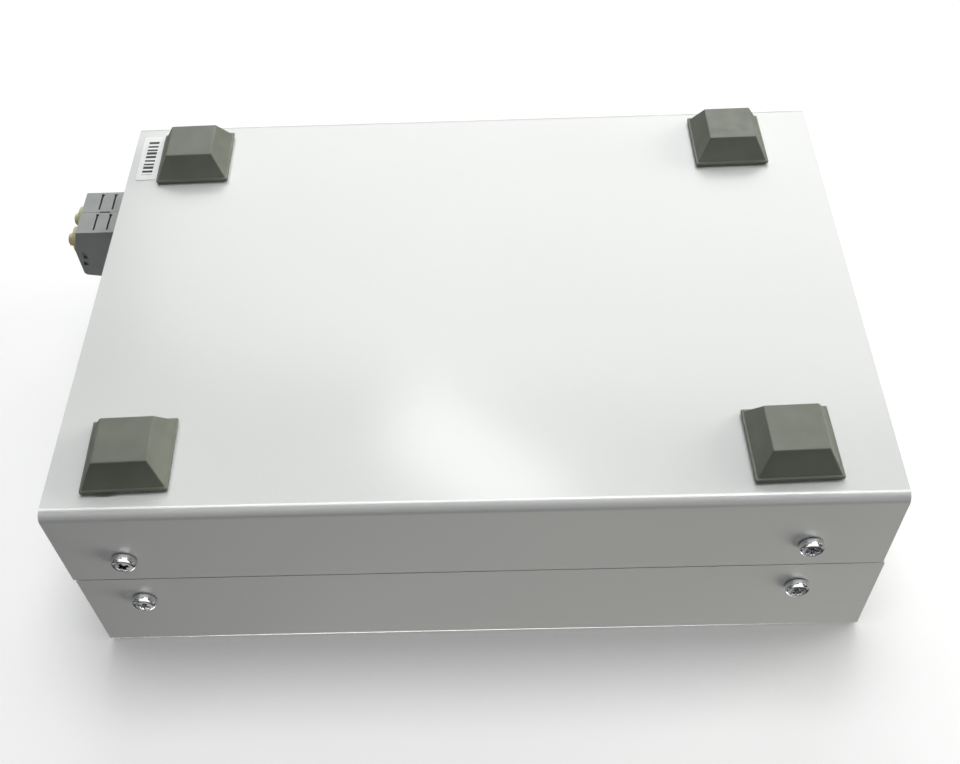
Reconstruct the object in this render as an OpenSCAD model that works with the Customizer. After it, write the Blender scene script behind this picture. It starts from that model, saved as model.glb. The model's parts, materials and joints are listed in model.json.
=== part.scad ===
// Fiber termination box: two bent sheet-metal shells screwed onto two end panels, a duplex coupler
// on the front panel, a cable entry on the rear panel, and a splice tray inside.
// Origin: on the surface it stands on, under the middle of the whole box with its coupler.
// +Z up, the coupler faces -Y. Places below are measured from the middle of the body.

/* [Body] */
// Width of the body across the two bent shells
body_w = 140; // [136:1:180]
// Length of the shells, from the coupler end to the cable end
body_l = 200; // [196:1:260]
// Height of the bottom shell
bottom_h = 28.6; // [28:0.1:32]
// Height of the top cover
cover_h = 33; // [32:0.1:60]
// Thickness of the sheet of the two shells
sheet = 1.5; // [1.2:0.1:1.6]
// Outer radius of the four long bends
bend_r = 2.5; // [2:0.1:4]
// Gap between the bottom shell and the top cover
seam_gap = 0.4; // [0.2:0.1:0.6]
// How far the top cover sits towards the cable end of the bottom shell
cover_shift = 0.5; // [0:0.1:1]

/* [End panels] */
// Thickness of the end panels
panel_t = 1.2; // [1:0.1:1.5]
// Depth of the front panel inside the shells
front_recess = 4; // [3:0.5:5]
// Depth of the rear panel inside the shells
rear_recess = 8; // [6:0.5:9]
// Length of the flanges that the shells are screwed to
flange_l = 22; // [20:0.5:24]

/* [Fasteners] */
// Distance from a panel's outer face to its side screws
screw_inset = 11.4; // [10:0.1:12]
// Height of the bottom shell's screws above the shell's flat underside
bottom_screw_up = 19; // [17:0.1:20]
// Height of the cover's screws above the seam
cover_screw_up = 9.6; // [8:0.1:12]
// Diameter of a screw head
head_d = 6; // [5.5:0.1:6.5]
// Height of a screw head
head_h = 2.4; // [2:0.1:2.6]

/* [Feet] */
// Side of a foot's square base
foot_base = 20.6; // [18:0.1:22]
// Side of a foot's flat tread
foot_top = 13; // [11:0.1:15]
// Height of a foot with its adhesive pad
foot_h = 7.5; // [6:0.1:10]
// Thickness of a foot's adhesive pad
pad_t = 0.6; // [0.4:0.1:1]

/* [Coupler] */
// Width of one coupler module
module_w = 8.75; // [8.6:0.05:9]
// Height of a coupler module at the panel
module_h = 18.4; // [17:0.1:19]
// How far the coupler stands out in front of the shells
coupler_out = 20.3; // [18:0.1:24]
// Sideways place of the coupler's centre line
coupler_x = 47.8; // [0:0.1:48]
// Height of the coupler's centre above the underside of the shells
coupler_up = 23.2; // [20:0.1:26]
// Diameter of the flange of a dust cap
cap_d = 8; // [7:0.1:8]
// Diameter of the grip of a dust cap
cap_grip_d = 4; // [3.6:0.1:5]

/* [Cable entry] */
// Bore of the cable grommet
cable_d = 8; // [6:0.5:9]
// Sideways place of the cable entry
cable_x = -30; // [-34:1:34]

/* [Hidden] */
$fn = 48;

// Body
shell_z = foot_h;
floor_z = shell_z + sheet;
seam_z = shell_z + bottom_h;
cover_z = seam_z + seam_gap;
top_z = cover_z + cover_h;
ceiling_z = top_z - sheet;
wall_x = body_w / 2 - sheet;
front_y = -body_l / 2;
rear_y = body_l / 2;
cut = 1;

// End panels: outer faces, and the lines of the side screws
front_face = front_y + front_recess;
rear_face = rear_y - rear_recess;
front_screw_y = front_face + screw_inset;
rear_screw_y = rear_face - screw_inset;
bottom_screw_z = shell_z + bottom_screw_up;
cover_screw_z = cover_z + cover_screw_up;
panel_edge_gap = 0.3;
flange_edge = 5;

// M3 and M2.5 hardware
m3_r = 1.5;
m25_r = 1.25;
thread_gap = 0.05;
m3_hole_r = 1.7;
side_screw_l = 8;
recess_l = 3.4;
recess_w = 0.7;
recess_depth = 1.3;
nut_r = 3.15;
nut_h = 2.5;
nut_shank_r = 2.1;

// Feet: centre and turn of each, as stuck on by hand
foot_ledge = 0.6;
foot_flange_t = 0.8;
front_left_foot = [-53.6, -81, -1.6];
front_right_foot = [53.9, -80.8, -1];
rear_left_foot = [-54.8, 75.2, -1.4];
rear_right_foot = [54.6, 75.3, -0.7];

// Label on the underside
label_size = [19.2, 6.1, 0.12];
label_pos = [55.2, -94.75];
label_turn = -1;

// Coupler: outlines, bores and places along the optical axis
coupler_z = shell_z + coupler_up;
module_gap = 0.1;
left_x = coupler_x - (module_w + module_gap) / 2;
right_x = coupler_x + (module_w + module_gap) / 2;
coupler_front = front_y - coupler_out;
coupler_back = front_face + 8;
slope_back = 2.2;
slope_h = 7.1;
nose = 0.7;
ramp = [5.2, 1.2];
port_z = coupler_z - 2.4;
port_r = 2.55;
port_depth = 12;
sleeve_bore_r = 1.65;
sleeve_l = 11.4;
sleeve_r = [1.27, 1.6];
sleeve_slit = 0.5;
collar_t = 1;
collar_out = 0.9;
frame_t = 2.5;
frame_w = 28;
frame_h = 26;
frame_screw_x = 11.6;
frame_gap = 0.1;
frame_head_r = 2.2;
frame_head_h = 1.6;
latch_y = [7.35, 11.35];
latch_l = 6.4;
latch_w = 0.55;
latch_dot_r = 0.5;
latch_dot_depth = 3;
latch_depth = 0.9;
latch_inset = 1.1;
joint_notch = [0.2, 3.2, 0.6];
window_depth = 0.8;
// Each window in a module's side: from the front, above the middle, length and height
windows = [[1.6, -1.1, 1.3, 2.7], [1, 2.6, 1.4, 1.7]];
cap_out = 2.35;
cap_seat = 1.7;
cap_lip = 0.3;
cap_gap = 0.05;
cap_inset = cap_seat - cap_gap;
cap_pin_l = 9;
cap_hollow_r = 1.5;
cap_edge = 0.7;
plug_body = 7.6;
plug_body_l = 12;
boot_l = 14;
boot_r = [2.4, 0.9];
grip_grooves = 4;
ferrule_r = 1.25;
ferrule_l = 5.6;

// Splice tray
tray_w = 108;
tray_y = [-38, 64];
tray_mid = (tray_y[0] + tray_y[1]) / 2;
tray_l = tray_y[1] - tray_y[0];
tray_z = floor_z + 8;
tray_h = 10;
tray_t = 1.5;
tray_screw = [48, 45];
tray_screw_l = 6;
standoff_r = 3;
notch = [40, 51];
holder = [24, 42, 5];
slot_count = 6;
slot_w = 3;
slot_depth = 3.5;
splice_r = 1.45;
splice_l = 40;
coil_r = 32;
coil_w = 3;
coil_h = 2.4;
post_count = 6;
post_r = 1.5;
fibre_r = 0.45;

// Routes of the two pigtails from their boots to the side of the fibre coil
left_route = [
    [43.4, -62, 28.3], [43.4, -57, 28.1], [43.3, -52, 27.6], [43, -47, 26.5],
    [42.6, -42, 25.1], [42, -37, 23.7], [41.3, -32, 22.4], [40.5, -27, 21.2],
    [39.6, -22, 20.3], [38.7, -17, 19.7], [37.8, -12, 19.5], [36.9, -7, 19.4],
    [36.1, -2, 19.4], [35.3, 3, 19.4], [34.6, 8, 19.4], [34.1, 13, 19.4]
];
right_route = [
    [52.2, -62, 28.3], [52.2, -57, 28.2], [52, -52, 27.8], [51.3, -47, 26.9],
    [50.2, -42, 25.6], [48.9, -37, 24.1], [47.5, -32, 23], [46, -27, 22],
    [44.3, -22, 21.2], [42.6, -17, 20.7], [41, -12, 20.6], [39.3, -7, 20.6],
    [37.8, -2, 20.6], [36.4, 3, 20.6], [35.2, 8, 20.6], [34.2, 13, 20.6]
];

// How far the body's middle is behind the origin, so that the whole box is centred on it
origin_shift = (coupler_out + cap_out - cover_shift) / 2;

// Cable entry and clamp
entry_z = shell_z + 22.5;
entry_hole_r = cable_d / 2 + 2.5;
entry_lip_r = entry_hole_r + 2.5;
entry_lip_t = 2.6;
clamp_y = rear_face - 13;
clamp_w = 28;
clamp_l = 10;
clamp_bar_h = 7;
clamp_stud_x = 10;
clamp_nut_r = 3.2;
clamp_nut_h = 2.4;

// Moves a piece from the body's own middle to the origin
module centred() {
    translate([0, origin_shift, 0]) children();
}

// A rectangle with round corners, centred
module round_rect(w, h, r) {
    square([w - 2 * r, h], center = true);
    square([w, h - 2 * r], center = true);
    for (x = [-1, 1], y = [-1, 1])
        translate([x * (w / 2 - r), y * (h / 2 - r)]) circle(r = r);
}

// A slab with round upright corners, standing on z = 0
module round_slab(w, l, t, r) {
    linear_extrude(height = t) round_rect(w, l, r);
}

// The section of a channel's outside, standing on y = 0 with its two lower corners round
module channel_outline(w, h, r) {
    translate([-w / 2, r]) square([w, h - r]);
    translate([r - w / 2, 0]) square([w - 2 * r, h]);
    for (x = [-1, 1])
        translate([x * (w / 2 - r), r]) circle(r = r);
}

// A sheet bent into a channel along Y, with its flat side on z = 0
module channel(l, h) {
    rotate([90, 0, 0])
        linear_extrude(height = l, center = true)
            difference() {
                channel_outline(body_w, h, bend_r);
                translate([0, sheet]) channel_outline(body_w - 2 * sheet, h, bend_r - sheet);
            }
}

// A cylinder along X, Y or Z from a point, in the direction of the sign
module rod_x(p, r, l) {
    translate(p) rotate([0, l > 0 ? 90 : -90, 0]) cylinder(r = r, h = abs(l));
}
module rod_y(p, r, l) {
    translate(p) rotate([l > 0 ? -90 : 90, 0, 0]) cylinder(r = r, h = abs(l));
}
module rod_z(p, r, l) {
    translate(p) rotate([l > 0 ? 0 : 180, 0, 0]) cylinder(r = r, h = abs(l));
}

// A pan-head screw with its head's seat on z = 0 and its shank pointing to -Z
module pan_screw(shank_r, shank_l, head_r, high) {
    edge = high * 0.45;
    difference() {
        union() {
            translate([0, 0, -shank_l]) cylinder(r = shank_r, h = shank_l + high / 2);
            rotate_extrude() {
                square([head_r, high - edge]);
                square([head_r - edge, high]);
                intersection() {
                    translate([head_r - edge, high - edge]) circle(r = edge);
                    square([head_r, high]);
                }
            }
        }
        for (a = [0, 90])
            rotate([0, 0, a])
                translate([-recess_l / 2, -recess_w / 2, high - recess_depth])
                    cube([recess_l, recess_w, recess_depth + cut]);
    }
}

// A pair of shell screws through both side walls, at one place along the body
module side_screws(y, z) {
    for (side = [-1, 1])
        translate([side * body_w / 2, y, z])
            rotate([0, side * 90, 0])
                rotate([0, 0, 20 * side])
                    pan_screw(m3_r, side_screw_l, head_d / 2, head_h);
}

// Body shells
module bottom_shell() {
    color([0.86, 0.87, 0.86]) centred()
        difference() {
            translate([0, 0, shell_z]) channel(body_l, bottom_h);
            for (y = [front_screw_y, rear_screw_y])
                rod_x([-body_w / 2 - cut, y, bottom_screw_z], m3_hole_r, body_w + 2 * cut);
        }
}

module top_cover() {
    color([0.84, 0.85, 0.84]) centred()
        difference() {
            translate([0, cover_shift, top_z]) mirror([0, 0, 1]) channel(body_l, cover_h);
            for (y = [front_screw_y, rear_screw_y])
                rod_x([-body_w / 2 - cut, y, cover_screw_z], m3_hole_r, body_w + 2 * cut);
        }
}

// End panels: a plate on y = 0 with a flange along each side, running to +Y
module end_panel() {
    plate_h = ceiling_z - floor_z - 2 * panel_edge_gap;
    mid_z = (ceiling_z + floor_z) / 2;
    difference() {
        union() {
            translate([0, panel_t, mid_z])
                rotate([90, 0, 0])
                    round_slab(2 * wall_x, plate_h, panel_t, bend_r);
            for (side = [-1, 1])
                translate([side * wall_x - (side > 0 ? panel_t : 0), 0, floor_z + flange_edge])
                    cube([panel_t, flange_l, ceiling_z - floor_z - 2 * flange_edge]);
        }
        for (z = [bottom_screw_z, cover_screw_z])
            rod_x([-wall_x - cut, screw_inset, z], nut_shank_r + thread_gap, 2 * (wall_x + cut));
    }
}

module front_panel() {
    opening_w = 2 * module_w + module_gap + 2 * frame_gap;
    opening_h = module_h + 2 * frame_gap;
    color([0.80, 0.81, 0.80]) centred()
        difference() {
            translate([0, front_face, 0]) end_panel();
            translate([coupler_x - opening_w / 2, front_face - cut, coupler_z - opening_h / 2])
                cube([opening_w, panel_t + 2 * cut, opening_h]);
            for (side = [-1, 1])
                rod_y([coupler_x + side * frame_screw_x, front_face - cut, coupler_z],
                      m25_r + thread_gap, panel_t + 2 * cut);
        }
}

module rear_panel() {
    color([0.80, 0.81, 0.80]) centred()
        difference() {
            translate([0, rear_face, 0]) mirror([0, 1, 0]) end_panel();
            rod_y([cable_x, rear_face + cut, entry_z], entry_hole_r, -panel_t - 2 * cut);
        }
}

// Clinch nuts in the panels' flanges, which the shell screws go into
module press_nuts() {
    flange_in = wall_x - panel_t;
    color([0.75, 0.75, 0.72]) centred()
        for (side = [-1, 1], y = [front_screw_y, rear_screw_y], z = [bottom_screw_z, cover_screw_z])
            difference() {
                union() {
                    rod_x([side * flange_in, y, z], nut_r, -side * nut_h);
                    rod_x([side * (flange_in - nut_h), y, z], nut_shank_r, side * (nut_h + panel_t - 0.1));
                }
                rod_x([side * (flange_in - nut_h - cut), y, z],
                      m3_r + thread_gap, side * (nut_h + panel_t + 2 * cut));
            }
}

module bottom_shell_screws() {
    color([0.82, 0.83, 0.85]) centred() {
        side_screws(front_screw_y, bottom_screw_z);
        side_screws(rear_screw_y, bottom_screw_z);
    }
}

module top_cover_screws() {
    color([0.82, 0.83, 0.85]) centred() {
        side_screws(front_screw_y, cover_screw_z);
        side_screws(rear_screw_y, cover_screw_z);
    }
}

// Feet: a square flange on the adhesive pad, then a taper down to the tread on z = 0
module foot(place) {
    flange_z = shell_z - pad_t - foot_flange_t;
    taper_w = foot_base - 2 * foot_ledge;
    color([0.45, 0.46, 0.42]) centred()
        translate([place[0], place[1], 0])
            rotate([0, 0, place[2]]) {
                translate([-foot_base / 2, -foot_base / 2, flange_z])
                    cube([foot_base, foot_base, foot_flange_t]);
                hull() {
                    translate([-foot_top / 2, -foot_top / 2, 0]) cube([foot_top, foot_top, 0.1]);
                    translate([-taper_w / 2, -taper_w / 2, flange_z]) cube([taper_w, taper_w, 0.1]);
                }
            }
}

module foot_front_left() { foot(front_left_foot); }
module foot_front_right() { foot(front_right_foot); }
module foot_rear_left() { foot(rear_left_foot); }
module foot_rear_right() { foot(rear_right_foot); }

module foot_adhesive_pads() {
    color([0.40, 0.41, 0.38]) centred()
        for (place = [front_left_foot, front_right_foot, rear_left_foot, rear_right_foot])
            translate([place[0], place[1], shell_z - pad_t])
                rotate([0, 0, place[2]])
                    translate([-foot_base / 2, -foot_base / 2, 0])
                        cube([foot_base, foot_base, pad_t]);
}

module serial_label() {
    color([0.96, 0.96, 0.95]) centred()
        translate([label_pos[0], label_pos[1], shell_z - label_size[2]])
            rotate([0, 0, label_turn])
                round_slab(label_size[0], label_size[1], label_size[2], 0.5);
}

// The outline of a coupler module from the side: the front leans back towards the underside,
// and behind a cut nose the upper side rises on a short ramp
module module_side() {
    under = coupler_z - module_h / 2;
    top = coupler_z + module_h / 2;
    polygon([
        [coupler_front, top - ramp[1] - nose / 2],
        [coupler_front, under + slope_h],
        [coupler_front + slope_back, under],
        [coupler_back, under],
        [coupler_back, top],
        [coupler_front + ramp[0], top],
        [coupler_front + nose, top - ramp[1] + nose / 2]
    ]);
}

// The body of one coupler module, with its cap seat, bores, latch slits, side windows, and a notch
// in the edge next to the other module
module coupler_module(x) {
    under = coupler_z - module_h / 2;
    joint_x = x + sign(coupler_x - x) * module_w / 2;
    color([0.60, 0.61, 0.60]) centred()
        difference() {
            union() {
                translate([x + module_w / 2, 0, 0])
                    rotate([90, 0, -90])
                        mirror([1, 0, 0])
                            linear_extrude(height = module_w) module_side();
                children();
            }
            rod_y([x, coupler_front - cut, port_z], cap_d / 2 + thread_gap, cap_seat + cut);
            rod_y([x, coupler_front - cut, port_z], port_r, port_depth + cut);
            rod_y([x, coupler_back + cut, port_z], port_r, -(port_back() + cut));
            rod_y([x, coupler_front, port_z], sleeve_bore_r, coupler_back - coupler_front);
            for (dy = latch_y) {
                translate([x - module_w / 2 + latch_inset, coupler_front + dy - latch_w / 2, under - cut])
                    cube([latch_l, latch_w, latch_depth + cut]);
                rod_z([x - module_w / 2 + latch_inset + latch_l, coupler_front + dy, under - cut],
                      latch_dot_r, latch_dot_depth + cut);
            }
            translate([joint_x - joint_notch[0],
                       coupler_front + (latch_y[0] + latch_y[1] - joint_notch[1]) / 2, under - cut])
                cube([2 * joint_notch[0], joint_notch[1], joint_notch[2] + cut]);
            for (side = [-1, 1], w = windows)
                translate([x + side * module_w / 2 - window_depth, coupler_front + w[0], coupler_z + w[1]])
                    cube([2 * window_depth, w[2], w[3]]);
        }
}

// Depth of the rear bore that takes an inner plug's nose
function port_back() = coupler_back - coupler_front - port_depth - sleeve_l - 0.2;

// The shoulder round a module's outer side, which the frame holds against the panel
module collar(x, side) {
    start = x - module_w / 2 - (side < 0 ? collar_out : 0);
    translate([start, front_face - collar_t, coupler_z - module_h / 2 - collar_out])
        cube([module_w + collar_out, collar_t, module_h + 2 * collar_out]);
}

module coupler_left() { coupler_module(left_x) collar(left_x, -1); }
module coupler_right() { coupler_module(right_x) collar(right_x, 1); }

module coupler_frame() {
    opening_w = 2 * module_w + module_gap + 2 * frame_gap;
    opening_h = module_h + 2 * frame_gap;
    color([0.55, 0.56, 0.55]) centred()
        difference() {
            translate([coupler_x, front_face, coupler_z])
                rotate([90, 0, 0])
                    round_slab(frame_w, frame_h, frame_t, 2);
            translate([coupler_x - opening_w / 2, front_face - frame_t - cut, coupler_z - opening_h / 2])
                cube([opening_w, frame_t + 2 * cut, opening_h]);
            translate([coupler_x - opening_w / 2 - collar_out, front_face - collar_t - frame_gap,
                       coupler_z - opening_h / 2 - collar_out])
                cube([opening_w + 2 * collar_out, collar_t + frame_gap + cut, opening_h + 2 * collar_out]);
            for (side = [-1, 1])
                rod_y([coupler_x + side * frame_screw_x, front_face - frame_t - cut, coupler_z],
                      m25_r + 0.2, frame_t + 2 * cut);
        }
}

module coupler_frame_screws() {
    color([0.80, 0.81, 0.83]) centred()
        for (side = [-1, 1])
            translate([coupler_x + side * frame_screw_x, front_face - frame_t, coupler_z])
                rotate([90, 0, 0])
                    rotate([0, 0, 15 * side])
                        pan_screw(m25_r, 6, frame_head_r, frame_head_h);
}

// Split ceramic sleeve that lines up two ferrules
module alignment_sleeve(x) {
    start = coupler_front + port_depth + 0.1;
    color([0.95, 0.95, 0.93]) centred()
        difference() {
            rod_y([x, start, port_z], sleeve_r[1], sleeve_l);
            rod_y([x, start - cut, port_z], sleeve_r[0], sleeve_l + 2 * cut);
            translate([x - sleeve_slit / 2, start - cut, port_z])
                cube([sleeve_slit, sleeve_l + 2 * cut, 2 * sleeve_r[1]]);
        }
}

module alignment_sleeve_left() { alignment_sleeve(left_x); }
module alignment_sleeve_right() { alignment_sleeve(right_x); }

// Dust cap: a flange that fills its seat in the module's front, a round grip with a soft edge, and a
// hollow pin that sits in the port
module dust_cap(x) {
    grip_r = cap_grip_d / 2;
    flat_r = grip_r - cap_edge;
    head_h = cap_inset + cap_out;
    side_h = head_h - cap_edge;
    color([0.66, 0.62, 0.36]) centred()
        translate([x, coupler_front + cap_inset, port_z])
            rotate([90, 0, 0])
                difference() {
                    union() {
                        rotate_extrude() {
                            square([cap_d / 2, cap_inset + cap_lip]);
                            square([grip_r, side_h]);
                            square([flat_r, head_h]);
                            intersection() {
                                translate([flat_r, side_h]) circle(r = cap_edge);
                                square([grip_r, head_h]);
                            }
                        }
                        translate([0, 0, -cap_pin_l]) cylinder(r = port_r - thread_gap, h = cap_pin_l + 1);
                    }
                    translate([0, 0, -cap_pin_l - cut]) cylinder(r = cap_hollow_r, h = cap_pin_l + cut);
                }
}

module dust_cap_left() { dust_cap(left_x); }
module dust_cap_right() { dust_cap(right_x); }

// Inner plug: ferrule, round nose, grip body and tapered boot
module inner_plug(x) {
    nose_l = port_back() - 0.1;
    color([0.25, 0.45, 0.70]) centred()
        translate([x, 0, port_z]) {
            rod_y([0, coupler_back - nose_l, 0], ferrule_r, -ferrule_l);
            rod_y([0, coupler_back, 0], port_r - thread_gap, -nose_l);
            difference() {
                translate([-plug_body / 2, coupler_back, -plug_body / 2])
                    cube([plug_body, plug_body_l, plug_body]);
                for (side = [-1, 1], i = [1 : grip_grooves])
                    translate([side * plug_body / 2 - 0.4, coupler_back + 1 + 2 * i, -plug_body])
                        cube([0.8, 1, 2 * plug_body]);
            }
            translate([0, coupler_back + plug_body_l, 0])
                rotate([-90, 0, 0]) cylinder(r1 = boot_r[0], r2 = boot_r[1], h = boot_l);
        }
}

module inner_plug_left() { inner_plug(left_x); }
module inner_plug_right() { inner_plug(right_x); }

// A round tube swept along a route of points
function unit(v) = v / norm(v);
function tangent(p, i) = unit(p[min(i + 1, len(p) - 1)] - p[max(i - 1, 0)]);
function ring(p, i, r, sides) =
    let (t = tangent(p, i), u = unit(cross(t, [0, 0, 1])), w = cross(u, t))
    [for (k = [0 : sides - 1]) p[i] + r * (cos(360 * k / sides) * u + sin(360 * k / sides) * w)];

module tube(p, r) {
    sides = 8;
    n = len(p);
    points = [for (i = [0 : n - 1]) each ring(p, i, r, sides)];
    walls = [for (i = [0 : n - 2], k = [0 : sides - 1])
        let (a = i * sides + k, b = i * sides + (k + 1) % sides)
        [a, b, b + sides, a + sides]];
    first = [for (k = [0 : sides - 1]) sides - 1 - k];
    last = [for (k = [0 : sides - 1]) (n - 1) * sides + k];
    polyhedron(points = points, faces = concat(walls, [first, last]), convexity = 4);
}

module pigtail_left() { color([0.95, 0.85, 0.20]) centred() tube(left_route, fibre_r); }
module pigtail_right() { color([0.95, 0.85, 0.20]) centred() tube(right_route, fibre_r); }

// Splice tray with an entry notch and a ring of posts inside the fibre coil
module splice_tray() {
    color([0.20, 0.21, 0.22]) centred()
        translate([0, tray_mid, tray_z])
            difference() {
                union() {
                    difference() {
                        round_slab(tray_w, tray_l, tray_h, 4);
                        translate([0, 0, tray_t])
                            round_slab(tray_w - 2 * tray_t, tray_l - 2 * tray_t, tray_h, 2.5);
                    }
                    for (k = [0 : post_count - 1])
                        rotate([0, 0, 360 * k / post_count])
                            translate([coil_r - coil_w / 2 - post_r - 0.5, 0, tray_t / 2])
                                cylinder(r = post_r, h = tray_h - tray_t);
                }
                translate([notch[0], -tray_l / 2 - cut, 5])
                    cube([notch[1] - notch[0], tray_t + 2 * cut, tray_h]);
                for (x = [-1, 1], y = [-1, 1])
                    translate([x * tray_screw[0], y * tray_screw[1], -cut])
                        cylinder(r = m3_hole_r, h = tray_t + 2 * cut);
            }
}

module tray_lid() {
    color([0.80, 0.85, 0.88]) centred()
        translate([0, tray_mid, tray_z + tray_h]) round_slab(tray_w, tray_l, 1.2, 4);
}

module splice_holder() {
    pitch = holder[0] / slot_count;
    color([0.85, 0.85, 0.82]) centred()
        translate([-holder[0] / 2, tray_mid - holder[1] / 2, tray_z + tray_t])
            difference() {
                cube(holder);
                for (i = [0 : slot_count - 1])
                    translate([(i + 0.5) * pitch - slot_w / 2, -cut, holder[2] - slot_depth])
                        cube([slot_w, holder[1] + 2 * cut, slot_depth + cut]);
            }
}

module splice_sleeves() {
    pitch = holder[0] / slot_count;
    color([0.90, 0.92, 0.95]) centred()
        for (i = [2, 3])
            rod_y([(i + 0.5) * pitch - holder[0] / 2, tray_mid - splice_l / 2,
                   tray_z + tray_t + holder[2] - slot_depth + splice_r], splice_r, splice_l);
}

module fibre_coil() {
    color([0.95, 0.85, 0.20]) centred()
        translate([0, tray_mid, tray_z + tray_t + 0.1 + coil_h / 2])
            rotate_extrude() translate([coil_r, 0]) round_rect(coil_w, coil_h, 1);
}

module tray_standoffs() {
    color([0.78, 0.78, 0.75]) centred()
        for (x = [-1, 1], y = [-1, 1])
            translate([x * tray_screw[0], tray_mid + y * tray_screw[1], floor_z])
                difference() {
                    cylinder(r = standoff_r, h = tray_z - floor_z);
                    translate([0, 0, 1]) cylinder(r = m3_r + thread_gap, h = tray_z);
                }
}

module tray_screws() {
    color([0.80, 0.81, 0.83]) centred()
        for (x = [-1, 1], y = [-1, 1])
            translate([x * tray_screw[0], tray_mid + y * tray_screw[1], tray_z + tray_t])
                pan_screw(m3_r, tray_screw_l, head_d / 2, head_h);
}

// Rubber grommet that lines the cable entry: two lips and a neck through the panel
module cable_grommet() {
    neck_r = entry_hole_r - 0.05;
    color([0.15, 0.15, 0.16]) centred()
        translate([cable_x, rear_face - panel_t / 2, entry_z])
            rotate([-90, 0, 0])
                rotate_extrude()
                    difference() {
                        union() {
                            translate([0, panel_t / 2]) round_lip();
                            mirror([0, 1]) translate([0, panel_t / 2]) round_lip();
                            translate([0, -panel_t]) square([neck_r, 2 * panel_t]);
                        }
                        translate([-cut, -20]) square([cable_d / 2 + cut, 40]);
                    }
}

// Half section of one grommet lip, standing on y = 0
module round_lip() {
    edge = 1.2;
    square([entry_lip_r, entry_lip_t - edge]);
    square([entry_lip_r - edge, entry_lip_t]);
    intersection() {
        translate([entry_lip_r - edge, entry_lip_t - edge]) circle(r = edge);
        square([entry_lip_r, entry_lip_t]);
    }
}

module cable_clamp_base() {
    color([0.30, 0.31, 0.32]) centred()
        difference() {
            translate([cable_x - clamp_w / 2, clamp_y - clamp_l / 2, floor_z])
                cube([clamp_w, clamp_l, entry_z - floor_z]);
            rod_y([cable_x, clamp_y - clamp_l, entry_z], cable_d / 2, 2 * clamp_l);
            for (side = [-1, 1])
                rod_z([cable_x + side * clamp_stud_x, clamp_y, floor_z - cut], m3_hole_r, entry_z);
        }
}

module cable_clamp_bar() {
    color([0.30, 0.31, 0.32]) centred()
        difference() {
            translate([cable_x - clamp_w / 2, clamp_y - clamp_l / 2, entry_z])
                cube([clamp_w, clamp_l, clamp_bar_h]);
            rod_y([cable_x, clamp_y - clamp_l, entry_z], cable_d / 2, 2 * clamp_l);
            for (side = [-1, 1])
                rod_z([cable_x + side * clamp_stud_x, clamp_y, entry_z - cut], m3_hole_r, 2 * clamp_bar_h);
        }
}

module clamp_studs() {
    color([0.78, 0.78, 0.75]) centred()
        for (side = [-1, 1])
            rod_z([cable_x + side * clamp_stud_x, clamp_y, floor_z], m3_r,
                  entry_z + clamp_bar_h + clamp_nut_h + 1 - floor_z);
}

module clamp_nuts() {
    color([0.80, 0.81, 0.83]) centred()
        for (side = [-1, 1])
            translate([cable_x + side * clamp_stud_x, clamp_y, entry_z + clamp_bar_h])
                difference() {
                    cylinder(r = clamp_nut_r, h = clamp_nut_h, $fn = 6);
                    translate([0, 0, -cut]) cylinder(r = m3_r + thread_gap, h = clamp_nut_h + 2 * cut);
                }
}

bottom_shell();
top_cover();
front_panel();
rear_panel();
press_nuts();
bottom_shell_screws();
top_cover_screws();
foot_front_left();
foot_front_right();
foot_rear_left();
foot_rear_right();
foot_adhesive_pads();
serial_label();
coupler_frame();
coupler_frame_screws();
coupler_left();
coupler_right();
alignment_sleeve_left();
alignment_sleeve_right();
dust_cap_left();
dust_cap_right();
inner_plug_left();
inner_plug_right();
pigtail_left();
pigtail_right();
splice_tray();
tray_lid();
splice_holder();
splice_sleeves();
fibre_coil();
tray_standoffs();
tray_screws();
cable_grommet();
cable_clamp_base();
cable_clamp_bar();
clamp_studs();
clamp_nuts();
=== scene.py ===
import json
import math

import bpy
from mathutils import Matrix, Vector, noise

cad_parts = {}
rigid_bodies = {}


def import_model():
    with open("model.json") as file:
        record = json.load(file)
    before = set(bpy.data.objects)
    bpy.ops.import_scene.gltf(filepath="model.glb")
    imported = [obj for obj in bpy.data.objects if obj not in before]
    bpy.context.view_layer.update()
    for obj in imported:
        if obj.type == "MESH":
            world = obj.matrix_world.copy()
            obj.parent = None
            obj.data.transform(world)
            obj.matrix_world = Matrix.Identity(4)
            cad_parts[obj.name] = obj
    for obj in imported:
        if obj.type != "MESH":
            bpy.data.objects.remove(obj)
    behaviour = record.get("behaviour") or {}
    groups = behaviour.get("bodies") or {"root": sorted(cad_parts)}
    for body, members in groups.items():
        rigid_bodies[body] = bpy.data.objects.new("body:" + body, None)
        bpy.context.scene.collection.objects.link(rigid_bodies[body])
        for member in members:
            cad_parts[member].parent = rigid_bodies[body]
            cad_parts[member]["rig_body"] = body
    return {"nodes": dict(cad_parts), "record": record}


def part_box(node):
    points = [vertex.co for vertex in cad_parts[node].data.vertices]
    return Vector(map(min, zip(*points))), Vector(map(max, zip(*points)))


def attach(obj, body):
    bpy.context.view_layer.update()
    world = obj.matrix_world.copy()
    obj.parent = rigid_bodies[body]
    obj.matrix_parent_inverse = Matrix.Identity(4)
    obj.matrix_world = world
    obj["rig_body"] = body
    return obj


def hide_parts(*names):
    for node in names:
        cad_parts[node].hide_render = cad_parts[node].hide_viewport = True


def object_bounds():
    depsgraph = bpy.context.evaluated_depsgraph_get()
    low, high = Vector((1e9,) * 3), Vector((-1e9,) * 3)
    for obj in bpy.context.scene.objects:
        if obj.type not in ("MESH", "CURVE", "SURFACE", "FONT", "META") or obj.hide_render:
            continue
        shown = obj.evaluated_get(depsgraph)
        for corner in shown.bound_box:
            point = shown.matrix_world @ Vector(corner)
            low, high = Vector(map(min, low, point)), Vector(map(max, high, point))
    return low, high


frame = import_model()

CAD_LOW, CAD_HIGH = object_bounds()
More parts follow.
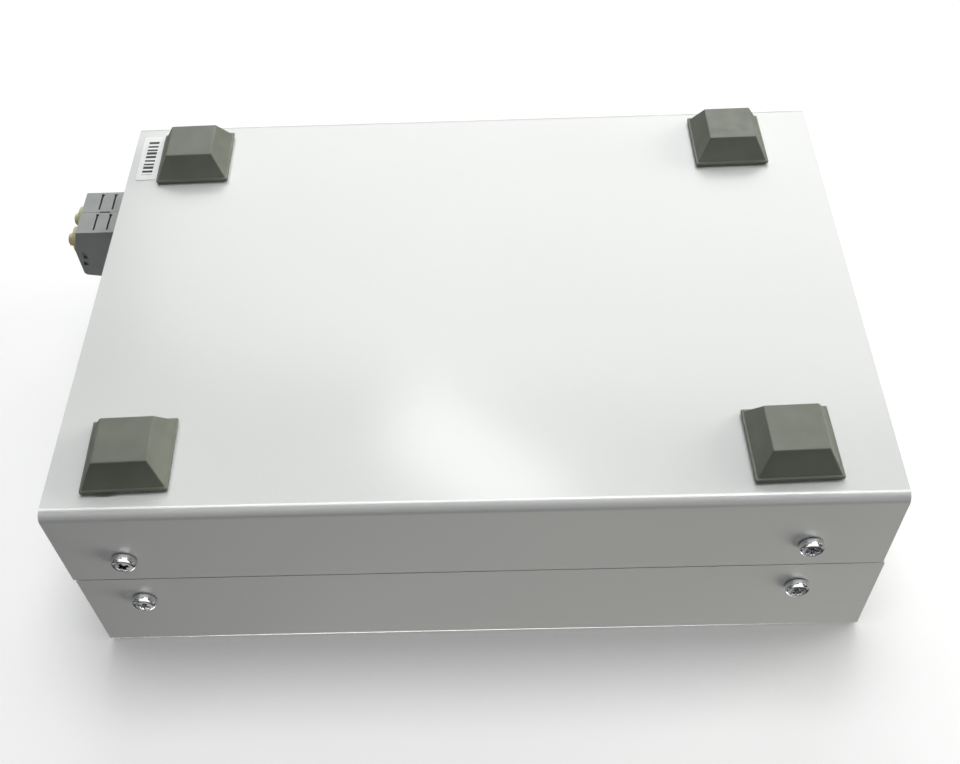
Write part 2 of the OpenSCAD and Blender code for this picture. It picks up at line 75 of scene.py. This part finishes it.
MM = 0.001
NODES = frame["nodes"]
SLOT_OF = {part["node"]: part["material_slot"] for part in frame["record"]["subparts"]}

# Sizes of the pieces that are built here, in metres
FOOT_TREAD = 13 * MM
FOOT_LEDGE = 0.6 * MM
FOOT_FLANGE = 0.8 * MM
FOOT_BASE = 20.6 * MM
HEAD_RADIUS = 3 * MM
HEAD_HEIGHT = 2.4 * MM
PAD_PEEL = 0.75 * MM

# Degrees by which each foot is turned, since they are stuck on by hand
FOOT_TURN = {
    "foot_front_left": -1.6, "foot_front_right": -1.0,
    "foot_rear_left": -1.4, "foot_rear_right": -0.7,
}
PEELING_FOOT = "foot_front_left"


# ---------------------------------------------------------------- materials

class Shader:
    """A Principled material with short calls for the nodes that feed it."""

    def __init__(self, name, roughness=0.5, metallic=0.0, ior=1.5, coat=0.0, coat_roughness=0.1):
        self.material = bpy.data.materials.new(name)
        self.material.use_nodes = True
        self.tree = self.material.node_tree
        self.bsdf = self.tree.nodes["Principled BSDF"]
        self.set(self.bsdf, {"Roughness": roughness, "Metallic": metallic, "IOR": ior,
                             "Coat Weight": coat, "Coat Roughness": coat_roughness})
        self.place = self.tree.nodes.new("ShaderNodeTexCoord").outputs["Object"]

    def link(self, socket, value):
        if isinstance(value, bpy.types.NodeSocket):
            self.tree.links.new(value, socket)
        else:
            socket.default_value = value

    def set(self, node, values):
        for key, value in values.items():
            self.link(node.inputs[key], value)
        return node

    def node(self, kind, values, **settings):
        made = self.tree.nodes.new("ShaderNode" + kind)
        for key, value in settings.items():
            setattr(made, key, value)
        return self.set(made, values)

    def noise(self, scale, detail=3.0, roughness=0.5, stretch=(1, 1, 1)):
        spot = self.node("Mapping", {"Vector": self.place, "Scale": stretch})
        values = {"Vector": spot.outputs["Vector"], "Scale": scale, "Detail": detail,
                  "Roughness": roughness}
        return self.node("TexNoise", values).outputs["Fac"]

    def ramp(self, value, low, high, start=0.0, end=1.0):
        """A smooth step from start to end as value goes from low to high."""
        values = {"Value": value, "From Min": low, "From Max": high, "To Min": start, "To Max": end}
        return self.node("MapRange", values, interpolation_type="SMOOTHSTEP").outputs["Result"]

    def mix(self, share, first, second):
        made = self.node("Mix", {"Factor": share}, data_type="RGBA")
        for socket, value in zip((made.inputs[6], made.inputs[7]), (first, second)):
            self.link(socket, value if isinstance(value, bpy.types.NodeSocket) else (*value, 1))
        return made.outputs[2]

    def math(self, operation, first, second=0.0):
        made = self.tree.nodes.new("ShaderNodeMath")
        made.operation = operation
        self.link(made.inputs[0], first)
        self.link(made.inputs[1], second)
        return made.outputs[0]

    def bump(self, *layers):
        """Each layer is (height, strength, distance); the last one reaches the surface."""
        for height, strength, distance in layers:
            values = {"Height": height, "Strength": strength, "Distance": distance}
            if self.bsdf.inputs["Normal"].is_linked:
                values["Normal"] = self.bsdf.inputs["Normal"].links[0].from_socket
            made = self.node("Bump", values)
            self.set(self.bsdf, {"Normal": made.outputs["Normal"]})

    def finish(self, colour, roughness=None):
        self.set(self.bsdf, {"Base Color": colour})
        if roughness is not None:
            self.set(self.bsdf, {"Roughness": roughness})
        return self.material


def shade(colour, factor):
    return tuple(min(1.0, c * factor) for c in colour)


def powder_coat(name, colour, roughness, coat):
    """Baked enamel: an orange-peel skin under a thin gloss, faint drifts of tone and a few specks."""
    s = Shader(name, coat=coat, coat_roughness=0.14)
    tone = s.mix(s.ramp(s.noise(11, 1), 0.25, 0.75), shade(colour, 0.975), colour)
    speck = s.ramp(s.noise(1500, 1), 0.78, 0.84, 0, 0.22)
    s.bump((s.noise(480, 1), 0.10, 0.00012), (s.noise(1700, 1), 0.05, 0.00005))
    handled = s.ramp(s.noise(18, 2), 0.25, 0.75, roughness - 0.04, roughness + 0.05)
    return s.finish(s.mix(speck, tone, shade(colour, 0.6)), handled)


def moulded(name, colour, roughness, grain=1500, strength=0.12, clear=0.0, painted_recess_shade=0.0):
    """Injection-moulded plastic with a fine spark-eroded grain and slight shifts of tone.

    clear is its subsurface share, and the last argument sets how much painted shade darkens its narrow
    slots and the places where parts meet.
    """
    s = Shader(name)
    s.set(s.bsdf, {"Subsurface Weight": clear, "Subsurface Scale": 0.002})
    tone = s.mix(s.ramp(s.noise(90, 3), 0.3, 0.7), shade(colour, 0.92), shade(colour, 1.08))
    if painted_recess_shade:
        # Painted shade: ambient occlusion darkens the colour in narrow slots and where parts meet
        open_sky = s.node("AmbientOcclusion", {"Distance": 1.0 * MM}, samples=8).outputs["AO"]
        tone = s.mix(s.ramp(open_sky, 0.25, 0.70), shade(colour, 1 - painted_recess_shade), tone)
    s.bump((s.noise(grain, 3, 0.6), strength, 0.00005))
    return s.finish(tone, s.ramp(s.noise(160, 3), 0.3, 0.7, roughness - 0.06, roughness + 0.08))


def rubber(name, colour, roughness):
    """Matt rubber with a bloom of paler dust and small scuffs."""
    s = Shader(name)
    base = s.mix(s.ramp(s.noise(130, 4), 0.3, 0.7), shade(colour, 0.93), shade(colour, 1.07))
    dust = s.ramp(s.noise(700, 4, 0.7), 0.62, 0.80, 0, 0.18)
    s.bump((s.noise(420, 3), 0.07, 0.0001), (s.noise(2400, 3, 0.6), 0.16, 0.00005))
    scuffed = s.ramp(s.noise(300, 3), 0.3, 0.7, roughness - 0.08, roughness + 0.06)
    return s.finish(s.mix(dust, base, shade(colour, 1.4)), scuffed)


def plated(name, colour, roughness):
    """Bright zinc plate with cloudy patches, faint scratches and tiny pits, and with painted shade
    darkening its recesses and its seat.
    """
    s = Shader(name, metallic=1.0)
    cloud = s.ramp(s.noise(450, 3, 0.5), 0.3, 0.7)
    s.bump((s.noise(900, 2, 0.5, (1, 6, 1)), 0.02, 0.00004), (s.noise(3200, 1), 0.02, 0.00003))
    worn = s.ramp(s.noise(900, 3), 0.3, 0.7, roughness * 0.8, roughness * 1.4)
    # Painted shade: ambient occlusion darkens the cross recess, the seat and the side wall next to it
    # nearly to black
    open_sky = s.node("AmbientOcclusion", {"Distance": 1.3 * MM}, samples=8).outputs["AO"]
    bright = s.mix(cloud, shade(colour, 0.88), colour)
    return s.finish(s.mix(s.ramp(open_sky, 0.30, 0.80), shade(colour, 0.05), bright), worn)


def clear_plastic(name, colour, roughness, alpha):
    """Clear sheet or tube with a slightly uneven surface."""
    s = Shader(name)
    s.set(s.bsdf, {"Alpha": alpha})
    s.bump((s.noise(200, 2), 0.05, 0.0001))
    return s.finish(s.mix(s.ramp(s.noise(60, 2), 0.3, 0.7), shade(colour, 0.95), colour), roughness)


def label_paper(name):
    """White sticker stock with a plain row of printed bars, which spells nothing."""
    s = Shader(name, roughness=0.45)
    pitch = 1.6 * MM
    low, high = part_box("serial_label")
    middle = (low + high) / 2
    axes = s.node("SeparateXYZ", {"Vector": s.place}).outputs
    along = s.math("SUBTRACT", axes["X"], middle.x)
    across = s.math("SUBTRACT", axes["Y"], middle.y)
    height = s.math("LESS_THAN", s.math("ABSOLUTE", across), 1.5 * MM)
    length = s.math("LESS_THAN", s.math("ABSOLUTE", along), 7.4 * MM)
    turn = s.math("FRACT", s.math("MULTIPLY", s.math("ADD", along, 5 * pitch), 1 / pitch))
    wide = s.math("GREATER_THAN", s.math("SINE", s.math("MULTIPLY", along, 2900.0)), 0.15)
    bar = s.math("LESS_THAN", turn, s.math("ADD", s.math("MULTIPLY", wide, 0.24), 0.46))
    ink = s.math("MULTIPLY", s.math("MULTIPLY", height, length), bar)
    paper = s.mix(s.ramp(s.noise(500, 3), 0.3, 0.7), (0.94, 0.94, 0.94), (0.98, 0.98, 0.98))
    s.bump((s.noise(1800, 3), 0.08, 0.00003))
    return s.finish(s.mix(ink, paper, (0.01, 0.01, 0.012)))


MATERIALS = {
    "powder_coat": powder_coat("powder_coat", (0.700, 0.717, 0.705), 0.36, 0.5),
    "panel_paint": powder_coat("panel_paint", (0.64, 0.65, 0.64), 0.45, 0.2),
    "zinc_steel": plated("zinc_steel", (0.86, 0.87, 0.88), 0.14),
    "foot_rubber": rubber("foot_rubber", (0.170, 0.182, 0.146), 0.55),
    "adhesive_foam": rubber("adhesive_foam", (0.13, 0.14, 0.118), 0.8),
    "label_paper": label_paper("label_paper"),
    # The coupler's plastic gets painted shade in its narrow slots
    "coupler_plastic": moulded("coupler_plastic", (0.385, 0.405, 0.392), 0.42, painted_recess_shade=0.85),
    "frame_plastic": moulded("frame_plastic", (0.26, 0.275, 0.27), 0.45),
    "cap_plastic": moulded("cap_plastic", (0.74, 0.70, 0.43), 0.30, strength=0.05, clear=0.5),
    "ceramic": moulded("ceramic", (0.85, 0.85, 0.80), 0.12, strength=0.03),
    "plug_plastic": moulded("plug_plastic", (0.05, 0.18, 0.46), 0.35),
    "fibre_jacket": moulded("fibre_jacket", (0.80, 0.62, 0.06), 0.35),
    "tray_plastic": moulded("tray_plastic", (0.04, 0.04, 0.043), 0.45),
    "clear_lid": clear_plastic("clear_lid", (0.80, 0.86, 0.90), 0.12, 0.35),
    "holder_plastic": moulded("holder_plastic", (0.72, 0.72, 0.66), 0.45),
    "splice_tube": clear_plastic("splice_tube", (0.85, 0.88, 0.92), 0.15, 0.6),
    "grommet_rubber": rubber("grommet_rubber", (0.022, 0.022, 0.024), 0.55),
}


# ---------------------------------------------------------------- mesh helpers

def piece(name, vertices, faces, node, smooth_angle=35):
    """A mesh object that rides with the CAD node it stands for, in that node's finish."""
    mesh = bpy.data.meshes.new(name)
    mesh.from_pydata([tuple(v) for v in vertices], [], faces)
    mesh.validate()
    mesh.update()
    made = bpy.data.objects.new(name, mesh)
    bpy.context.scene.collection.objects.link(made)
    mesh.materials.append(MATERIALS[SLOT_OF[node]])
    for polygon in mesh.polygons:
        polygon.use_smooth = True
    mesh.set_sharp_from_angle(angle=math.radians(smooth_angle))
    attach(made, NODES[node]["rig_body"])
    return made


def rounded_square(half, radius, steps=6, side_steps=1):
    """Points round a square with round corners, anticlockwise, centred on zero."""
    points = []
    for corner in range(4):
        turn = math.radians(90 * corner)
        cos, sin = math.cos(turn), math.sin(turn)
        arc = [math.radians(90 * k / steps) for k in range(steps + 1)]
        part = [(half - radius + radius * math.cos(a), half - radius + radius * math.sin(a)) for a in arc]
        run = half - radius
        part += [(run - 2 * run * k / side_steps, half) for k in range(1, side_steps)]
        points += [(x * cos - y * sin, x * sin + y * cos) for x, y in part]
    return points


def loft(rings):
    """Vertices and quads through rings of equal length, closed with a face at each end."""
    count = len(rings[0])
    vertices = [p for ring in rings for p in ring]
    faces = [list(range(count))[::-1]]
    for i in range(len(rings) - 1):
        for k in range(count):
            n = (k + 1) % count
            faces.append([i * count + k, i * count + n, (i + 1) * count + n, (i + 1) * count + k])
    faces.append([(len(rings) - 1) * count + k for k in range(count)])
    return vertices, faces


# ---------------------------------------------------------------- feet

def foot(node):
    """A moulded bumper: thin flange, crisp inner corner, tapered sides and a tread with a slight dish."""
    low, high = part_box(node)
    centre = (low + high) / 2
    turn = Matrix.Rotation(math.radians(FOOT_TURN[node]), 3, "Z")
    half, tread = FOOT_BASE / 2, FOOT_TREAD / 2
    inner = half - FOOT_LEDGE
    flange_low = high.z - FOOT_FLANGE
    slope = (inner - tread) / (flange_low - low.z)
    soft = 0.3 * MM
    levels = [
        (high.z, half - 0.04 * MM, 0.25 * MM),
        (high.z - 0.1 * MM, half, 0.28 * MM),
        (flange_low + 0.15 * MM, half, 0.28 * MM),
        (flange_low + 0.04 * MM, half - 0.05 * MM, 0.25 * MM),
        (flange_low, half - 0.15 * MM, 0.2 * MM),
        (flange_low, inner + 0.08 * MM, 0.3 * MM),
        (flange_low - 0.08 * MM, inner - 0.02 * MM, 0.3 * MM),
        (low.z + soft, tread + slope * soft - 0.02 * MM, 0.35 * MM),
    ]
    for k in range(1, 6):
        a = math.radians(90 * k / 5)
        reach = tread + slope * soft * (1 - k / 5) - soft * (1 - math.cos(a)) * 0.6
        levels.append((low.z + soft * (1 - math.sin(a)), reach, 0.35 * MM))
    levels += [(low.z + 0.02 * MM, tread - 0.9 * MM, 0.4 * MM), (low.z + 0.06 * MM, tread * 0.5, 0.4 * MM)]
    rings = []
    for z, reach, radius in levels:
        ring = [turn @ Vector((x, y, 0)) for x, y in rounded_square(reach, radius)]
        rings.append([(centre.x + p.x, centre.y + p.y, z) for p in ring])
    vertices, faces = loft(rings[::-1])
    made = piece(node + "_rubber", vertices, faces, node, 32)
    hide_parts(node)
    return centre, turn


def adhesive_pad(number, centre, turn, peel):
    """A die-cut pad of foam tape with a ragged outline; peel is how far one edge has curled out."""
    node = "foot_adhesive_pads"
    low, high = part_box(node)
    rings = []
    for share, shrink in ((0.0, 0.35), (0.12, 0.22), (0.88, 0.22), (1.0, 0.3)):
        z = low.z + (high.z - low.z) * share
        ring = []
        for x, y in rounded_square(FOOT_BASE / 2 - shrink * MM, 0.6 * MM, 5, 24):
            ragged = 0.10 * MM * noise.noise(Vector((x, y, number * MM)) / (1.6 * MM))
            out = Vector((x, y, 0)).normalized() * ragged
            if peel and x < -FOOT_BASE / 2 + MM and y < 0:
                lift = math.sin(math.pi * min(1.0, max(0.0, (-y - 0.4 * MM) / (8 * MM))))
                out += Vector((-peel * lift * (1 - 0.5 * share), 0, 0))
            ring.append(turn @ (Vector((x, y, 0)) + out) + Vector((centre.x, centre.y, z)))
        rings.append(ring)
    vertices, faces = loft(rings)
    return piece(f"adhesive_pad_{number}", vertices, faces, node, 40)


for number, name in enumerate(FOOT_TURN):
    middle, turned = foot(name)
    pad = adhesive_pad(number, middle, turned, PAD_PEEL if name == PEELING_FOOT else 0)
    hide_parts("foot_adhesive_pads")


# ---------------------------------------------------------------- screws

def screw_head(place, outward, spin, name, node):
    """A pan head on its seat: domed rim, flat crown and a cross recess with tapered walls."""
    turns, steps = 96, 36
    recess, arm_half, arm_length = 1.5 * MM, 0.40 * MM, 1.35 * MM
    vertices = [(0.0, 0.0, HEAD_HEIGHT - recess)]
    for i in range(1, steps + 1):
        reach = HEAD_RADIUS * i / steps
        shoulder = max(0.0, (reach - 1.9 * MM) / (HEAD_RADIUS - 1.9 * MM))
        crown = HEAD_HEIGHT - 0.10 * MM * (reach / HEAD_RADIUS) ** 2
        crown -= 0.9 * MM * (1 - math.sqrt(max(0.0, 1 - shoulder ** 2)))
        for k in range(turns):
            a = 2 * math.pi * k / turns
            x, y = reach * math.cos(a), reach * math.sin(a)
            across, along = min(abs(x), abs(y)), max(abs(x), abs(y))
            wall = max((across - arm_half) / (0.14 * MM), (along - arm_length) / (0.3 * MM))
            depth = recess * (1 - min(1.0, max(0.0, wall))) * (1 - 0.3 * min(1.0, along / arm_length))
            vertices.append((x, y, crown - depth))
    for z, shrink in ((HEAD_HEIGHT * 0.3, 1.0), (0.15 * MM, 1.0), (0.0, 0.96)):
        for k in range(turns):
            a = 2 * math.pi * k / turns
            vertices.append((HEAD_RADIUS * shrink * math.cos(a), HEAD_RADIUS * shrink * math.sin(a), z))
    faces = [[0, 1 + k, 1 + (k + 1) % turns] for k in range(turns)]
    for i in range(steps + 2):
        for k in range(turns):
            a, b = 1 + i * turns + k, 1 + i * turns + (k + 1) % turns
            faces.append([a, a + turns, b + turns, b])
    faces.append([1 + (steps + 2) * turns + k for k in range(turns)][::-1])
    turn = Matrix.Rotation(math.radians(spin), 3, "Z")
    seat = Vector(outward).to_track_quat("Z", "Y").to_matrix() @ turn
    return piece(name, [seat @ Vector(v) + Vector(place) for v in vertices], faces, node, 40)


def shell_screws(node, spins):
    """The heads of one shell's four screws, which stand for the CAD node; its shanks don't show."""
    heads = []
    low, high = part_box(node)
    z = (low.z + high.z) / 2
    number = 0
    for side in (-1, 1):
        for y in (low.y + HEAD_RADIUS, high.y - HEAD_RADIUS):
            place = (side * (high.x - HEAD_HEIGHT), y, z)
            head = screw_head(place, (side, 0, 0), spins[number], f"{node}_head_{number + 1}", node)
            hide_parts(node)
            heads.append(head)
            number += 1
    return heads


HEADS = shell_screws("bottom_shell_screws", (20, 8, 50, 33))
HEADS += shell_screws("top_cover_screws", (62, 25, 12, 40))


# ---------------------------------------------------------------- CAD nodes

SOFT_EDGES = {
    "bottom_shell": 0.3, "top_cover": 0.3, "front_panel": 0.2, "rear_panel": 0.2, "coupler_frame": 0.3,
    "coupler_left": 0.22, "coupler_right": 0.22, "cable_clamp_base": 0.4, "cable_clamp_bar": 0.4,
}


def finish_node(name, node):
    """Gives a CAD node its slot's material, and rounds the edges of what is sheared or moulded."""
    node.data.materials.clear()
    node.data.materials.append(MATERIALS[SLOT_OF[name]])
    if name in SOFT_EDGES:
        rounding = node.modifiers.new("soft_edges", "BEVEL")
        rounding.width = SOFT_EDGES[name] * MM
        rounding.segments = 3
        rounding.limit_method = "ANGLE"
        rounding.angle_limit = math.radians(50)
        rounding.harden_normals = True


for name, node in NODES.items():
    finish_node(name, node)


# ---------------------------------------------------------------- camera

def aim(camera, place, direction, sky, roll):
    """Points the camera along direction with sky upwards, then rolls it about its own axis."""
    forward = Vector(direction).normalized()
    right = forward.cross(Vector(sky)).normalized()
    up = right.cross(forward)
    turn = Matrix.Rotation(math.radians(roll), 3, forward)
    basis = Matrix((turn @ right, turn @ up, -forward)).transposed()
    camera.matrix_world = Matrix.Translation(place) @ basis.to_4x4()


camera = bpy.data.objects.new("camera", bpy.data.cameras.new("camera"))
bpy.context.scene.collection.objects.link(camera)
camera.data.sensor_width = 36
camera.data.lens = 43.92
camera.data.clip_start = 0.01
camera.data.clip_end = 50
aim(camera, (-0.2153, 0.0191, -0.2180), (0.6282, -0.0198, 0.7778), (0, 0, -1), 2.87)
bpy.context.scene.camera = camera


# ---------------------------------------------------------------- floors, lights and backdrop

def floor_material(name, glow, fade_from, fade_to):
    """White board with a painted glow, which grows away from the box and is dimmed near it into a painted
    contact shadow, and which shows only from its front.

    It fades out towards its edge-on view, between fade_from and fade_to, so that it has no horizon.
    """
    s = Shader(name)
    board = s.node("BsdfDiffuse", {"Color": (0.45, 0.45, 0.455, 1)})
    # Painted shadow and painted light: ambient occlusion dims the board's glow near the box, and the glow
    # grows further away, though the board is no lamp
    nearness = s.node("AmbientOcclusion", {"Distance": 0.03}, samples=8).outputs["AO"]
    away = s.node("VectorMath", {0: s.place}, operation="LENGTH").outputs["Value"]
    spread = s.ramp(away, 0.25, 1.5, glow, 0.9)
    lit = s.node("Emission", {"Strength": s.math("MULTIPLY", s.math("POWER", nearness, 1.6), spread)})
    both = s.node("AddShader", {0: board.outputs[0], 1: lit.outputs[0]})
    hidden = s.node("NewGeometry", {}).outputs["Backfacing"]
    edge_on = s.node("LayerWeight", {"Blend": 0.5}).outputs["Facing"]
    hidden = s.math("MAXIMUM", hidden, s.ramp(edge_on, fade_from, fade_to))
    clear = s.node("BsdfTransparent", {})
    mix = s.node("MixShader", {0: hidden, 1: both.outputs[0], 2: clear.outputs[0]})
    s.tree.links.new(mix.outputs[0], s.tree.nodes["Material Output"].inputs["Surface"])
    s.tree.nodes.remove(s.bsdf)
    return s.material


def floor(name, height, facing, material):
    """A board that only the camera sees, so that it shades nothing of the object from the lights."""
    reach = 25
    corners = [(x * reach, y * reach, height) for x, y in ((-1, -1), (1, -1), (1, 1), (-1, 1))]
    mesh = bpy.data.meshes.new(name)
    mesh.from_pydata(corners, [], [[0, 1, 2, 3] if facing > 0 else [3, 2, 1, 0]])
    mesh.materials.append(material)
    made = bpy.data.objects.new(name, mesh)
    bpy.context.scene.collection.objects.link(made)
    made.visible_diffuse = False
    made.visible_glossy = False
    made.visible_transmission = False
    made.visible_shadow = False


def panel_light(name, offset, size, power, colour=(1, 1, 1), spin=0.0):
    """A soft box at offset from the object's centre, which it faces; the camera doesn't see it."""
    centre = (CAD_LOW + CAD_HIGH) / 2
    data = bpy.data.lights.new(name, "AREA")
    data.shape = "RECTANGLE"
    data.size, data.size_y = size
    data.energy = power
    data.color = colour
    made = bpy.data.objects.new(name, data)
    bpy.context.scene.collection.objects.link(made)
    made.visible_camera = False
    turn = (-Vector(offset)).to_track_quat("-Z", "Y").to_matrix()
    turn = turn @ Matrix.Rotation(math.radians(spin), 3, "Z")
    made.matrix_world = Matrix.Translation(centre + Vector(offset)) @ turn.to_4x4()
    return made


def reach_only(pieces, light):
    """Lets a light reach only these pieces; one close to the box would leave a spot on the floor."""
    reached = bpy.data.collections.new(light.name + "_reaches")
    for item in pieces:
        reached.objects.link(item)
    light.light_linking.receiver_collection = reached


def backdrop(ambient, seen):
    """White to the camera, an even dim room to matt surfaces, and a room with windows to shiny ones."""
    world = bpy.data.worlds.new("studio")
    bpy.context.scene.world = world
    world.use_nodes = True
    tree = world.node_tree
    tree.nodes.clear()

    def background(colour, strength):
        made = tree.nodes.new("ShaderNodeBackground")
        made.inputs["Color"].default_value = (*colour, 1)
        made.inputs["Strength"].default_value = strength
        return made

    def mixed(share, first, second):
        made = tree.nodes.new("ShaderNodeMixShader")
        tree.links.new(share, made.inputs["Fac"])
        tree.links.new(first.outputs[0], made.inputs[1])
        tree.links.new(second.outputs[0], made.inputs[2])
        return made

    way = tree.nodes.new("ShaderNodeTexCoord").outputs["Generated"]
    patches = tree.nodes.new("ShaderNodeTexNoise")
    patches.inputs["Scale"].default_value = 1.7
    patches.inputs["Detail"].default_value = 1.0
    tree.links.new(way, patches.inputs["Vector"])
    contrast = tree.nodes.new("ShaderNodeMapRange")
    contrast.inputs["From Min"].default_value = 0.44
    contrast.inputs["From Max"].default_value = 0.56
    tree.links.new(patches.outputs["Fac"], contrast.inputs["Value"])
    room = mixed(contrast.outputs["Result"], background((1, 1, 1), 0.04), background((1, 1, 1), 0.42))
    path = tree.nodes.new("ShaderNodeLightPath").outputs
    lit = mixed(path["Is Glossy Ray"], background((0.98, 0.98, 1.0), ambient), room)
    shown = mixed(path["Is Camera Ray"], lit, background((1, 1, 1), seen))
    out = tree.nodes.new("ShaderNodeOutputWorld")
    tree.links.new(shown.outputs[0], out.inputs["Surface"])


# The box lies on its lid in front of the camera, which looks up at its underside from below,
# so one floor touches the lid and faces down, and the other is the one that the feet stand on
BOX_PIECES = [item for item in bpy.context.scene.objects if item.type == "MESH"]
SHINY_PIECES = [NODES["bottom_shell"], NODES["top_cover"]] + HEADS
floor("floor_under_lid", CAD_HIGH.z + 0.05 * MM, -1, floor_material("floor_white_down", 0.60, 0.60, 0.68))
floor("floor_under_feet", CAD_LOW.z - 0.05 * MM, 1, floor_material("floor_white_up", 0.60, 0.95, 0.99))
backdrop(0.16, 1.0)
panel_light("key_below", (0.45, 0.40, -2.20), (1.0, 0.9), 11.7, (0.985, 0.99, 1))
panel_light("far_below", (0.88, 0.12, -0.72), (1.1, 0.6), 8.0)
panel_light("right_below", (0.35, 1.30, -0.55), (0.7, 0.7), 9.5, (1, 0.98, 0.89))
panel_light("lamp_below", (0.72, -0.02, -1.15), (0.27, 0.12), 1.2, spin=-38)
bounce = panel_light("bounce_near", (-0.50, 0.05, -0.12), (0.5, 0.3), 0.10, (0.97, 0.97, 1))
reach_only(BOX_PIECES, bounce)
fill = panel_light("fill_right", (-0.25, 0.42, 0.25), (0.3, 0.3), 1.45, (1, 0.96, 0.88))
reach_only(BOX_PIECES, fill)
fill.visible_glossy = False

# These show only as reflections: a bright line along the bend, and two dimmer bands below it
for name, offset, size, power in (("gloss_line", (0.38, 0.15, -2.20), (3.0, 0.62), 58),
                                  ("gloss_fade", (-1.20, 0.15, -1.60), (3.0, 1.50), 21),
                                  ("gloss_low", (-2.00, 0.15, -0.50), (3.0, 1.20), 12)):
    gloss = panel_light(name, offset, size, power)
    reach_only(SHINY_PIECES, gloss)
    gloss.visible_diffuse = False

panel_light("key_above", (0.45, -0.75, 1.10), (0.7, 0.6), 13)
lid_light = panel_light("lid_above", (0.10, -0.05, 1.20), (0.7, 0.6), 5)
reach_only(BOX_PIECES, lid_light)
bpy.context.scene.view_settings.view_transform = "Standard"
